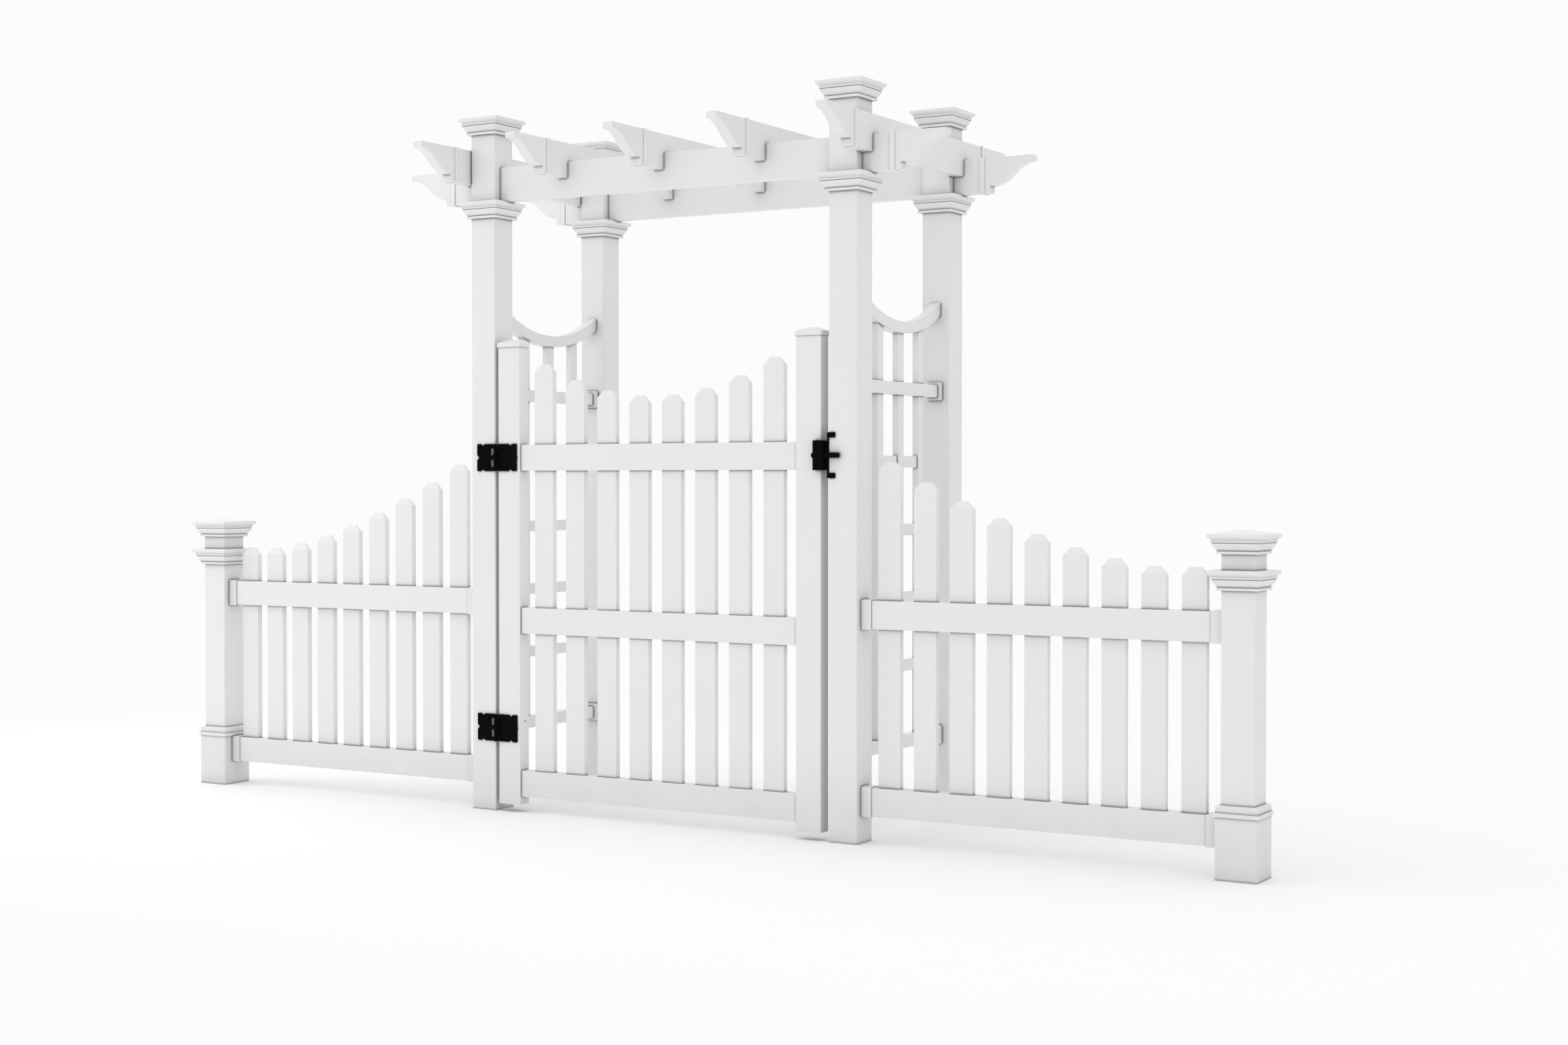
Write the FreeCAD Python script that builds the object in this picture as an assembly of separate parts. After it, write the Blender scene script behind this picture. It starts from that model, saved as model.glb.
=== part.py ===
import FreeCAD, Part
import math
import os

# Vinyl garden gate in a four-post arbor, with a short picket wing on each side.
# Millimetres. +X runs along the fence, +Y is away from the front, +Z is up.
# The origin is on the ground, midway between all the posts.

inch = 25.4
fit = 0.2                         # assembly gap between glued or plugged pieces
running = 0.05                    # radial clearance of the turning and sliding fits

# posts
post_size = 4 * inch
post_wall = 3.8
post_round = 4.0
rail_round, small_round = 2.0, 1.2  # outer corners of the rails, and of pickets and slats
arbor_x = 709.1                   # arbor post centres, either side of the path
row_y = 322.4                     # front and rear post rows
end_x = 1987.4                    # centres of the outer fence posts
arbor_cap_z = 2328.3              # underside of the arbor post caps
end_cap_z = 928.1                 # underside of the fence post caps
arbor_collar_z = 2041.0
end_collar_z = 824.6
post_into_cap = 44.0

# cap and collar moulding, half widths and heights above its underside
band_half, band_top = 62.5, 7.6
neck_half, neck_top = 59.6, 9.2
cove_half, cove_top = 73.2, 30.4
groove_half, groove_top = 71.2, 32.6
fascia_half, fascia_top = 73.9, 40.8
brim_half, brim_low, brim_high = 83.2, 48.0, 54.4
roof_half, collar_height, cap_height = 80.2, 57.0, 69.0
cap_socket_depth = 45.0
cove_bulge, brim_bulge = (0.5, -0.6), (0.8, 0.7)  # how far each arc's middle leaves its chord

# base sleeve of a fence post
sleeve_half, sleeve_wall = 63.5, 4.0
sleeve_round = 5.0
lip_half, lip_low, lip_high = 68.0, 180.4, 192.2
sleeve_shoulder, sleeve_top, sleeve_top_half = 208.6, 214.0, 55.0

# beams, rafters and their scroll ends
beam_thick, beam_high, beam_wall = 1.5 * inch, 117.5, 2.5
beam_z = 2098.0
rafter_z = 2160.0
rafter_count = 5
rafter_end_x = 779.0
beam_body_half = 855.5            # from the middle to the scroll end's band
rafter_body_half = row_y + 118.0
band_long, band_proud = 20.0, 2.0
scroll_reach, scroll_step = 194.0, 40.0
scroll_step_high, scroll_tip_high, scroll_handle = 24.0, 20.0, 72.0

# side panels between the front and rear posts
panel_half = row_y - post_size / 2
arch_center_z, arch_inner_r, arch_thick = 2149.6, 493.3, 1.5 * inch
side_rail_wide, side_rail_high, side_rail_wall = 1.5 * inch, 41.3, 2.4
side_rail_zs = (1437.8, 280.5)
side_bracket_wide, side_bracket_high, side_bracket_long = 54.0, 60.0, 22.0
slat_wide, slat_deep, slat_wall, slat_pitch = 22.2, 1.5 * inch, 2.0, 142.0
crossbar_thick, crossbar_high, crossbar_count = 12.7, 1.5 * inch, 4
crossbar_first_z, crossbar_pitch = 530.0, 223.0

# pickets and fence wings
picket_wide, picket_thick, picket_wall = 3 * inch, 22.2, 1.6
picket_cap_high, picket_cap_flat, picket_cap_ridge = 1 * inch, 34.0, 7.0
picket_plug = 12.0
wing_rail_deep, wing_rail_high, wing_rail_wall = 2 * inch, 3.5 * inch, 2.5
wing_rail_zs = (717.9, 132.3)
wing_bracket_long, wing_bracket_wall = 1.5 * inch, 2.3
wing_picket_count, wing_picket_pitch = 9, 123.825
wing_low, wing_rise, wing_curve = 884.0, 310.2, 1.58

# gate leaf
gate_left, gate_right = -644.2, 630.4
gate_low, gate_stile_top = 25.5, 1594.3
stile_wide, stile_deep, stile_wall, stile_round = 91.3, 2 * inch, 3.2, 3.0
stile_cap_over, stile_cap_lip, stile_cap_rise, stile_cap_ridge_half = 2.8, 15.7, 10.9, 0.5
stile_into_cap = 11.0
gate_rail_deep, gate_rail_high, gate_rail_wall = 1.5 * inch, 3.5 * inch, 2.5
gate_rail_zs = {"top": 1215.5, "middle": 658.0, "bottom": 98.3}
gate_rail_into_stile = 15.0
gate_picket_count, gate_picket_middle, gate_picket_pitch = 8, -6.0, 130.0
gate_curve_low, gate_curve_rise = 1417.0, 115.4
stiffener_wide, stiffener_deep, stiffener_wall, stiffener_lift = 44.0, 43.8, 2.5, 5.0

# hinges
hinge_axis_x = -650.0
hinge_zs = (1216.6, 286.3)
knuckle_r, pin_r = 7.5, 4.0
leaf_thick, leaf_high, leaf_round = 4.0, 92.6, 2.5
leaf_post_reach, leaf_gate_reach = 83.0, 86.0
leaf_clear = 7.9                  # leaf edge to pin axis beside a foreign knuckle
notch_at, notch_deep, notch_half = 59.5, 7.5, 8.0
side_notch_deep, side_notch_half = 8.5, 9.0
slot_near, slot_far, slot_low, slot_high, slot_slant = 8.1, 22.8, 6.3, 32.0, 6.0
gate_knuckle_half, knuckle_gap = 22.0, 0.6
spring_r, spring_room_r, spring_half = 5.9, 6.2, 15.0
tensioner_high, key_hole_r, key_hole_deep = 4.6, 2.9, 3.0
spring_gap = 0.4                  # between the pin and the inside of the spring
post_screw_reach, gate_screw_reach = (73.0, 36.0), (22.0, 42.0)
hinge_screw_dz = 33.0
boss_r, boss_high = 6.0, 3.0

# latch
latch_z = 1216.5
case_left, case_right, case_high, case_deep = 611.2, 647.0, 93.7, 20.0
case_flange_thick, case_flange_deep, case_flange_high = 4.0, 45.0, 91.0
case_wall, case_guide_half, case_round = 3.0, 15.0, 1.5
case_screw_at, case_screw_dz, case_pocket_at = 7.0, 32.0, 12.0
bolt_r, bolt_left, bolt_right, bolt_dome = 8.0, 606.8, 700.4, 3.0
knob_r, knob_left, knob_right, knob_round = 8.6, 603.8, 610.4, 3.0
keeper_thick, keeper_high, keeper_deep = 4.0, 143.7, 31.0
keeper_tab_reach, keeper_tab_high, keeper_screw_at = 28.4, 16.0, 15.0
keeper_notch_gap = 1.0            # around the bolt where it passes the plate's front edge

# screws
screw_r, screw_head_r, screw_head_high, screw_long = 2.2, 4.6, 2.2, 20.0
drive_half_long, drive_half_wide, drive_deep = 3.0, 0.5, 1.4

front_y = -row_y
front_face = front_y - post_size / 2
gate_y = front_face + stile_deep / 2
pin_y = front_face - knuckle_r
bolt_y = front_face - case_deep / 2
corners = {"front_left": (-1, -1), "front_right": (1, -1),
           "rear_left": (-1, 1), "rear_right": (1, 1)}
sides = {"left": -1, "right": 1}


def vec(x, y, z):
    return FreeCAD.Vector(x, y, z)


def block(x0, x1, y0, y1, z0, z1):
    return Part.makeBox(x1 - x0, y1 - y0, z1 - z0, vec(x0, y0, z0))


def centred(size_x, size_y, x, y, z0, z1):
    return block(x - size_x / 2, x + size_x / 2, y - size_y / 2, y + size_y / 2, z0, z1)


def rod(r, start, direction, length):
    return Part.makeCylinder(r, length, start, direction)


def prism(points, direction):
    # flat outline given as vectors, pulled along a direction
    wire = Part.makePolygon(points + points[:1])
    return Part.Face(wire).extrude(direction)


def export(name, shapes):
    shape = shapes[0] if len(shapes) == 1 else Part.makeCompound(shapes)
    if not shape.isValid() or len(shape.Solids) != len(shapes):
        raise ValueError(name + " is not a set of clean solids")
    shape.exportStep("parts/" + name + ".step")
    print(name, len(shapes), round(shape.Volume / 1000.0, 1), "cm3")


def tube(low, high, along, wall, rounding=0.0):
    # hollow extrusion between two corners, open at both ends, with rounded outer corners
    outer = block(low[0], high[0], low[1], high[1], low[2], high[2])
    if rounding > 0:
        edges = [e for e in outer.Edges if abs(e.tangentAt(e.FirstParameter)[along]) > 0.9]
        outer = outer.makeFillet(rounding, edges)
    inset = [-1 if axis == along else wall for axis in range(3)]
    return outer.cut(block(low[0] + inset[0], high[0] - inset[0], low[1] + inset[1],
                           high[1] - inset[1], low[2] + inset[2], high[2] - inset[2]))


def tube_x(x0, x1, y, z, deep, high, wall, rounding=0.0):
    return tube((x0, y - deep / 2, z - high / 2), (x1, y + deep / 2, z + high / 2), 0,
                wall, rounding)


def tube_y(y0, y1, x, z, wide, high, wall, rounding=0.0):
    return tube((x - wide / 2, y0, z - high / 2), (x + wide / 2, y1, z + high / 2), 1,
                wall, rounding)


def tube_z(z0, z1, x, y, wide, deep, wall, rounding=0.0):
    return tube((x - wide / 2, y - deep / 2, z0), (x + wide / 2, y + deep / 2, z1), 2,
                wall, rounding)


def square_moulding(right_edges, half):
    # A square moulding: one profile pulled along X and along Y, kept where both meet.
    mirrored = [e.mirror(vec(0, 0, 0), vec(1, 0, 0)) for e in right_edges]
    low = right_edges[0].Vertexes[0].Point
    high = right_edges[-1].Vertexes[-1].Point
    ends = [Part.makeLine(vec(-low.x, 0, low.z), low)]
    if high.x > 0.01:
        ends.append(Part.makeLine(vec(-high.x, 0, high.z), high))
    wire = Part.Wire(Part.__sortEdges__(right_edges + mirrored + ends))
    along_y = Part.Face(wire).extrude(vec(0, 2 * half, 0))
    along_y.translate(vec(0, -half, 0))
    along_x = along_y.copy()
    along_x.rotate(vec(0, 0, 0), vec(0, 0, 1), 90)
    return along_y.common(along_x)


def line(a, b):
    return Part.makeLine(vec(a[0], 0, a[1]), vec(b[0], 0, b[1]))


def arc(a, mid, b):
    return Part.Arc(vec(a[0], 0, a[1]), vec(mid[0], 0, mid[1]), vec(b[0], 0, b[1])).toShape()


def cap_profile(top_half, top):
    # from the underside up: band, neck, cove, groove, fascia, brim, then the roof or flat top
    cove_mid = ((neck_half + cove_half) / 2 + cove_bulge[0],
                (neck_top + cove_top) / 2 + cove_bulge[1])
    brim_mid = ((brim_half + roof_half) / 2 + brim_bulge[0],
                (brim_high + collar_height) / 2 + brim_bulge[1])
    edges = [line((band_half, 0), (band_half, band_top)),
             line((band_half, band_top), (neck_half, band_top)),
             line((neck_half, band_top), (neck_half, neck_top)),
             arc((neck_half, neck_top), cove_mid, (cove_half, cove_top)),
             line((cove_half, cove_top), (groove_half, cove_top)),
             line((groove_half, cove_top), (groove_half, groove_top)),
             line((groove_half, groove_top), (fascia_half, groove_top)),
             line((fascia_half, groove_top), (fascia_half, fascia_top)),
             line((fascia_half, fascia_top), (brim_half, brim_low)),
             line((brim_half, brim_low), (brim_half, brim_high)),
             arc((brim_half, brim_high), brim_mid, (roof_half, collar_height))]
    if top > collar_height:
        edges.append(line((roof_half, collar_height), (top_half, top)))
    return edges


def post_cap(x, y, z):
    shell = square_moulding(cap_profile(0.0, cap_height), brim_half + 1)
    socket_size = post_size + 2 * fit
    shell = shell.cut(centred(socket_size, socket_size, 0, 0, -1, cap_socket_depth))
    shell.translate(vec(x, y, z))
    return shell


def post_collar(x, y, z):
    ring = square_moulding(cap_profile(roof_half, collar_height), brim_half + 1)
    bore = post_size + 2 * fit
    ring = ring.cut(centred(bore, bore, 0, 0, -1, collar_height + 1))
    ring.translate(vec(x, y, z))
    return ring


def rounded_pillar(half, z0, z1, rounding):
    pillar = block(-half, half, -half, half, z0, z1)
    return pillar.makeFillet(rounding, [e for e in pillar.Edges
                                        if abs(e.Vertexes[0].Z - e.Vertexes[1].Z) > 1])


def base_sleeve(side):
    # square sleeve with a sloping shoulder and a raised lip below it
    body = rounded_pillar(sleeve_half, 0, sleeve_top, sleeve_round)
    peak = block(-sleeve_half, sleeve_half, -sleeve_half, sleeve_half, 0, sleeve_top)
    rim = [e for e in peak.Edges if all(v.Z > sleeve_top - 1 for v in e.Vertexes)]
    rise, inset = sleeve_top - sleeve_shoulder, sleeve_half - sleeve_top_half
    body = body.common(peak.makeChamfer(rise, inset, rim))
    lip = rounded_pillar(lip_half, lip_low, lip_high, sleeve_round)
    sleeve = body.fuse(lip).removeSplitter()
    room = 2 * (sleeve_half - sleeve_wall)
    bore = post_size + 2 * fit
    sleeve = sleeve.cut(centred(room, room, 0, 0, -1, sleeve_shoulder - sleeve_wall))
    sleeve = sleeve.cut(centred(bore, bore, 0, 0, -1, sleeve_top + 1))
    sleeve.translate(vec(side * end_x, front_y, 0))
    deep, high = wing_bracket_size()
    near = end_x - sleeve_half
    under_lip = block(near - wing_bracket_long, near, front_y - deep / 2 - fit,
                      front_y + deep / 2 + fit, wing_rail_zs[1] - high / 2 - fit,
                      wing_rail_zs[1] + high / 2 + fit)
    if side < 0:
        under_lip = under_lip.mirror(vec(0, 0, 0), vec(1, 0, 0))
    return sleeve.cut(under_lip)


def arbor_post(side_x, side_y):
    x, y = side_x * arbor_x, side_y * row_y
    post = tube_z(0, arbor_cap_z + post_into_cap, x, y, post_size, post_size, post_wall,
                  post_round)
    half_thick, half_size = beam_thick / 2 + fit, post_size / 2 + 1
    post = post.cut(block(x - half_size, x + half_size, y - half_thick, y + half_thick,
                          beam_z - fit, beam_z + beam_high + fit))
    if side_y < 0:
        post = post.cut(Part.makeCompound(screw_holes(post_screw_spots())))
    return post


def end_post(side):
    return tube_z(0, end_cap_z + post_into_cap, side * end_x, front_y, post_size, post_size,
                  post_wall, post_round)


def beam(y):
    reach = beam_body_half + band_long - beam_wall
    return tube_x(-reach, reach, y, beam_z + beam_high / 2, beam_thick, beam_high, beam_wall,
                  rail_round)


def rafter(x):
    # hollow rail, notched to sit down over both beams
    reach = rafter_body_half + band_long - beam_wall
    rail = tube_y(-reach, reach, x, rafter_z + beam_high / 2, beam_thick, beam_high, beam_wall,
                  rail_round)
    half_notch = beam_thick / 2 + fit
    for y in (-row_y, row_y):
        rail = rail.cut(block(x - beam_thick, x + beam_thick, y - half_notch, y + half_notch,
                              rafter_z - 1, beam_z + beam_high))
    return rail


def rafter_xs():
    step = 2 * rafter_end_x / (rafter_count - 1)
    return [-rafter_end_x + step * i for i in range(rafter_count)]


def scroll_end():
    # Scroll end in its own frame: +X outwards from the band's inner face, Z from its underside.
    tip_low = beam_high - scroll_tip_high
    curve = Part.BezierCurve()
    curve.setPoles([vec(scroll_step, 0, scroll_step_high),
                    vec(scroll_step + scroll_handle, 0, scroll_step_high),
                    vec(scroll_reach - scroll_handle, 0, tip_low),
                    vec(scroll_reach, 0, tip_low)])
    edges = [line((band_long, 0), (scroll_step, 0)),
             line((scroll_step, 0), (scroll_step, scroll_step_high)), curve.toShape(),
             line((scroll_reach, tip_low), (scroll_reach, beam_high)),
             line((scroll_reach, beam_high), (band_long, beam_high)),
             line((band_long, beam_high), (band_long, 0))]
    blade = Part.Face(Part.Wire(Part.__sortEdges__(edges))).extrude(vec(0, beam_thick, 0))
    blade.translate(vec(0, -beam_thick / 2, 0))
    half = beam_thick / 2 + band_proud
    band = block(0, band_long, -half, half, -band_proud, beam_high + band_proud)
    inner = beam_thick / 2 + fit / 2
    socket = block(-1, band_long - beam_wall + fit, -inner, inner, -fit / 2,
                   beam_high + fit / 2)
    return band.cut(socket).fuse(blade).removeSplitter()


def scroll_ends():
    ends = []
    for y in (-row_y, row_y):
        for angle in (0, 180):
            piece = scroll_end()
            piece.rotate(vec(0, 0, 0), vec(0, 0, 1), angle)
            piece.translate(vec(beam_body_half * math.cos(math.radians(angle)), y, beam_z))
            ends.append(piece)
    for x in rafter_xs():
        for angle in (90, -90):
            piece = scroll_end()
            piece.rotate(vec(0, 0, 0), vec(0, 0, 1), angle)
            piece.translate(vec(x, rafter_body_half * math.sin(math.radians(angle)), rafter_z))
            ends.append(piece)
    return ends


def arch_bar(x, wide, inner_r, outer_r, half_long):
    outer = rod(outer_r, vec(x - wide / 2, 0, arch_center_z), vec(1, 0, 0), wide)
    inner = rod(inner_r, vec(x - wide / 2 - 1, 0, arch_center_z), vec(1, 0, 0), wide + 2)
    span = block(x - wide, x + wide, -half_long, half_long, arch_center_z - outer_r - 1,
                 arch_center_z - inner_r / 2)
    return outer.cut(inner).common(span)


def side_arch(side):
    # sagging top rail of a side panel, a hollow bar bent to a round
    x, wall = side * arbor_x, side_rail_wall
    outer_r = arch_inner_r + arch_thick
    bar = arch_bar(x, side_rail_wide, arch_inner_r, outer_r, panel_half)
    bar = bar.makeFillet(rail_round, [e for e in bar.Edges if e.Length > panel_half])
    core = arch_bar(x, side_rail_wide - 2 * wall, arch_inner_r + wall, outer_r - wall,
                    panel_half + 1)
    return bar.cut(core)


def slat_ys():
    return [-slat_pitch, 0.0, slat_pitch]


def side_rail(side, z):
    x = side * arbor_x
    end = panel_half - fit
    rail = tube_y(-end, end, x, z, side_rail_wide, side_rail_high, side_rail_wall, rail_round)
    low = z - side_rail_high / 2 - 1
    if z == min(side_rail_zs):
        low = z                   # the slats stop inside the lower rail
    for y in slat_ys():
        rail = rail.cut(centred(slat_wide + 2 * fit, slat_deep + 2 * fit, x, y, low,
                                z + side_rail_high / 2 + 1))
    return rail


def side_slats(side):
    x = side * arbor_x
    foot = min(side_rail_zs) - side_rail_high / 2 + side_rail_wall + fit
    under_arch = rod(arch_inner_r + arch_thick + fit, vec(x - slat_wide, 0, arch_center_z),
                     vec(1, 0, 0), 2 * slat_wide)
    slats = []
    for y in slat_ys():
        slat = tube_z(foot, arch_center_z - arch_inner_r, x, y, slat_wide, slat_deep, slat_wall,
                      small_round).cut(under_arch)
        for z in crossbar_zs():
            slat = slat.cut(block(x - crossbar_thick / 2 - fit, x + crossbar_thick / 2 + fit,
                                  -slat_pitch, slat_pitch, z - crossbar_high / 2 - fit,
                                  z + crossbar_high / 2 + fit))
        slats.append(slat)
    return slats


def crossbar_zs():
    return [crossbar_first_z + crossbar_pitch * i for i in range(crossbar_count)]


def side_crossbars(side):
    x = side * arbor_x
    reach = slat_pitch - fit
    return [block(x - crossbar_thick / 2, x + crossbar_thick / 2, -reach, reach,
                  z - crossbar_high / 2, z + crossbar_high / 2) for z in crossbar_zs()]


def side_brackets(side):
    x = side * arbor_x
    brackets = []
    for z in side_rail_zs:
        for y0 in (-panel_half, panel_half - side_bracket_long):
            y1 = y0 + side_bracket_long
            outer = block(x - side_bracket_wide / 2, x + side_bracket_wide / 2, y0, y1,
                          z - side_bracket_high / 2, z + side_bracket_high / 2)
            inner = block(x - side_rail_wide / 2 - fit, x + side_rail_wide / 2 + fit,
                          y0 - 1, y1 + 1, z - side_rail_high / 2 - fit,
                          z + side_rail_high / 2 + fit)
            brackets.append(outer.cut(inner))
    return brackets


def picket(x, y, z0, shoulder):
    return tube_z(z0, shoulder, x, y, picket_wide, picket_thick, picket_wall, small_round)


def picket_cap(x, y, shoulder):
    # moulded point: four slopes up to a narrow flat ridge, with a plug below
    def ring(wide, deep, z):
        return Part.makePolygon([vec(x + sx * wide / 2, y + sy * deep / 2, z) for sx, sy in
                                 ((-1, -1), (1, -1), (1, 1), (-1, 1), (-1, -1))])
    point = Part.makeLoft([ring(picket_wide, picket_thick, shoulder),
                           ring(picket_cap_flat, picket_cap_ridge, shoulder + picket_cap_high)],
                          True, True)
    inset = 2 * (picket_wall + fit)
    plug = centred(picket_wide - inset, picket_thick - inset, x, y, shoulder - picket_plug,
                   shoulder)
    return point.fuse(plug)


def wing_picket_xs(side):
    middle = (arbor_x + end_x) / 2
    half_count = (wing_picket_count - 1) / 2
    return [side * (middle + (i - half_count) * wing_picket_pitch)
            for i in range(wing_picket_count)]


def wing_shoulders():
    # picket heights fall from the arbor towards the fence post in a hollow curve
    bottom = wing_picket_count - 1.5
    tops = [wing_low + wing_rise * abs((i - bottom) / bottom) ** wing_curve
            for i in range(wing_picket_count)]
    return [top - picket_cap_high for top in tops]


def wing_rail_end(z):
    return end_x - (sleeve_half if z == min(wing_rail_zs) else post_size / 2)


def wing_rail(side, z):
    x0, x1 = arbor_x + post_size / 2 + fit, wing_rail_end(z) - fit
    rail = tube_x(x0, x1, front_y, z, wing_rail_deep, wing_rail_high, wing_rail_wall,
                  rail_round)
    low = z - wing_rail_high / 2 - 1
    if z == min(wing_rail_zs):
        low = z                   # the pickets stop inside the lower rail
    for x in wing_picket_xs(1):
        rail = rail.cut(centred(picket_wide + 2 * fit, picket_thick + 2 * fit, x, front_y,
                                low, z + wing_rail_high / 2 + 1))
    return rail if side > 0 else rail.mirror(vec(0, 0, 0), vec(1, 0, 0))


def wing_bracket_size():
    grow = 2 * (wing_bracket_wall + fit)
    return wing_rail_deep + grow, wing_rail_high + grow


def wing_brackets(side):
    deep, high = wing_bracket_size()
    brackets = []
    for z in wing_rail_zs:
        for x0 in (arbor_x + post_size / 2, wing_rail_end(z) - wing_bracket_long):
            piece = tube_x(x0, x0 + wing_bracket_long, front_y, z, deep, high,
                           wing_bracket_wall, rail_round)
            if side < 0:
                piece = piece.mirror(vec(0, 0, 0), vec(1, 0, 0))
            brackets.append(piece)
    return brackets


def wing_pickets(side):
    foot = min(wing_rail_zs) - wing_rail_high / 2 + wing_rail_wall + fit
    return [picket(x, front_y, foot, shoulder)
            for x, shoulder in zip(wing_picket_xs(side), wing_shoulders())]


def wing_picket_caps(side):
    return [picket_cap(x, front_y, shoulder)
            for x, shoulder in zip(wing_picket_xs(side), wing_shoulders())]


def stile_x(side):
    return gate_left + stile_wide / 2 if side < 0 else gate_right - stile_wide / 2


def gate_stile(side):
    x = stile_x(side)
    stile = tube_z(gate_low, gate_stile_top + stile_into_cap, x, gate_y, stile_wide, stile_deep,
                   stile_wall, stile_round)
    inner_face = x - side * stile_wide / 2
    for z in gate_rail_zs.values():
        half_deep, half_high = gate_rail_deep / 2 + fit, gate_rail_high / 2 + fit
        stile = stile.cut(block(inner_face - stile_wall - 1, inner_face + stile_wall + 1,
                                gate_y - half_deep, gate_y + half_deep,
                                z - half_high, z + half_high))
    return stile.cut(Part.makeCompound(screw_holes(gate_screw_spots())))


def gate_stile_cap(side):
    x = stile_x(side)
    half_x, half_y = stile_wide / 2 + stile_cap_over, stile_deep / 2 + stile_cap_over
    lip = block(x - half_x, x + half_x, gate_y - half_y, gate_y + half_y, gate_stile_top,
                gate_stile_top + stile_cap_lip)
    base_z = gate_stile_top + stile_cap_lip
    base = Part.makePolygon([vec(x + sx * half_x, gate_y + sy * half_y, base_z) for sx, sy in
                             ((-1, -1), (1, -1), (1, 1), (-1, 1), (-1, -1))])
    peak_half = half_x - half_y
    peak = Part.makePolygon([vec(x + sx * peak_half, gate_y + sy * stile_cap_ridge_half,
                                 base_z + stile_cap_rise)
                             for sx, sy in ((-1, -1), (1, -1), (1, 1), (-1, 1), (-1, -1))])
    roof = Part.makeLoft([base, peak], True, True)
    socket = centred(stile_wide + 2 * fit, stile_deep + 2 * fit, x, gate_y,
                     gate_stile_top - 1, gate_stile_top + stile_into_cap + fit)
    return lip.fuse(roof).removeSplitter().cut(socket)


def gate_rail(z):
    x0 = gate_left + stile_wide - gate_rail_into_stile
    x1 = gate_right - stile_wide + gate_rail_into_stile
    rail = tube_x(x0, x1, gate_y, z, gate_rail_deep, gate_rail_high, gate_rail_wall,
                  rail_round)
    low = z - gate_rail_high / 2 - 1
    if z == gate_rail_zs["bottom"]:
        low = z                   # the pickets stop inside the bottom rail
    for x in gate_picket_xs():
        rail = rail.cut(centred(picket_wide + 2 * fit, picket_thick + 2 * fit, x, gate_y,
                                low, z + gate_rail_high / 2 + 1))
    return rail


def gate_picket_xs():
    half_count = (gate_picket_count - 1) / 2
    return [gate_picket_middle + (i - half_count) * gate_picket_pitch
            for i in range(gate_picket_count)]


def gate_shoulders():
    # a hollow curve: lowest in the middle of the leaf, highest beside the stiles
    half_count = (gate_picket_count - 1) / 2
    return [gate_curve_low + gate_curve_rise * ((i - half_count) / half_count) ** 2
            - picket_cap_high for i in range(gate_picket_count)]


def gate_pickets():
    foot = gate_rail_zs["bottom"] - gate_rail_high / 2 + gate_rail_wall + fit
    return [picket(x, gate_y, foot, shoulder)
            for x, shoulder in zip(gate_picket_xs(), gate_shoulders())]


def gate_picket_caps():
    return [picket_cap(x, gate_y, shoulder)
            for x, shoulder in zip(gate_picket_xs(), gate_shoulders())]


def stile_stiffener(side):
    # aluminium box inside a stile, against its outer wall, for the hardware screws
    outer_wall = gate_left + stile_wall if side < 0 else gate_right - stile_wall
    x = outer_wall - side * (stiffener_wide / 2 + fit)
    bar = tube_z(gate_low + stiffener_lift, gate_stile_top, x, gate_y, stiffener_wide,
                 stiffener_deep, stiffener_wall)
    return bar.cut(Part.makeCompound(screw_holes(gate_screw_spots())))


def v_notch(x, z, half, deep, direction):
    # triangular cutter through a hinge leaf; direction is (x, z), pointing into the leaf
    dx, dz = direction
    y = front_face - leaf_thick - 1
    points = [vec(x - dz * half, y, z - dx * half), vec(x + dz * half, y, z + dx * half),
              vec(x + dx * deep, y, z + dz * deep)]
    return prism(points, vec(0, leaf_thick + 2, 0))


def leaf_plate(z, side, reach, inner):
    # one leaf from the pin outwards, notched along its edges
    xs = sorted((hinge_axis_x + side * inner, hinge_axis_x + side * reach))
    half = leaf_high / 2
    plate = block(xs[0], xs[1], front_face - leaf_thick, front_face, z - half, z + half)
    outer_x = hinge_axis_x + side * reach
    short_edges = [e for e in plate.Edges
                   if abs(e.Vertexes[0].Y - e.Vertexes[1].Y) > 1
                   and abs(e.Vertexes[0].X - outer_x) < 0.1]
    plate = plate.makeFillet(leaf_round, short_edges)
    for end in (-1, 1):
        plate = plate.cut(v_notch(hinge_axis_x + side * notch_at, z + end * half,
                                  notch_half, notch_deep, (0, -end)))
    return plate.cut(v_notch(outer_x, z, side_notch_half, side_notch_deep, (-side, 0)))


def knuckle(z0, z1, bore_r):
    axis = vec(0, 0, 1)
    barrel = rod(knuckle_r, vec(hinge_axis_x, pin_y, z0), axis, z1 - z0)
    return barrel.cut(rod(bore_r, vec(hinge_axis_x, pin_y, z0 - 1), axis, z1 - z0 + 2))


def slot_cutter(z, end):
    # slot beside the pin, with its end nearest the middle cut on a slant
    x_far, x_near = hinge_axis_x - slot_far, hinge_axis_x - slot_near
    y = front_face - leaf_thick - 1
    points = [vec(x_far, y, z + end * slot_low),
              vec(x_near, y, z + end * (slot_low + slot_slant)),
              vec(x_near, y, z + end * slot_high), vec(x_far, y, z + end * slot_high)]
    return prism(points, vec(0, leaf_thick + 2, 0))


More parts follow.
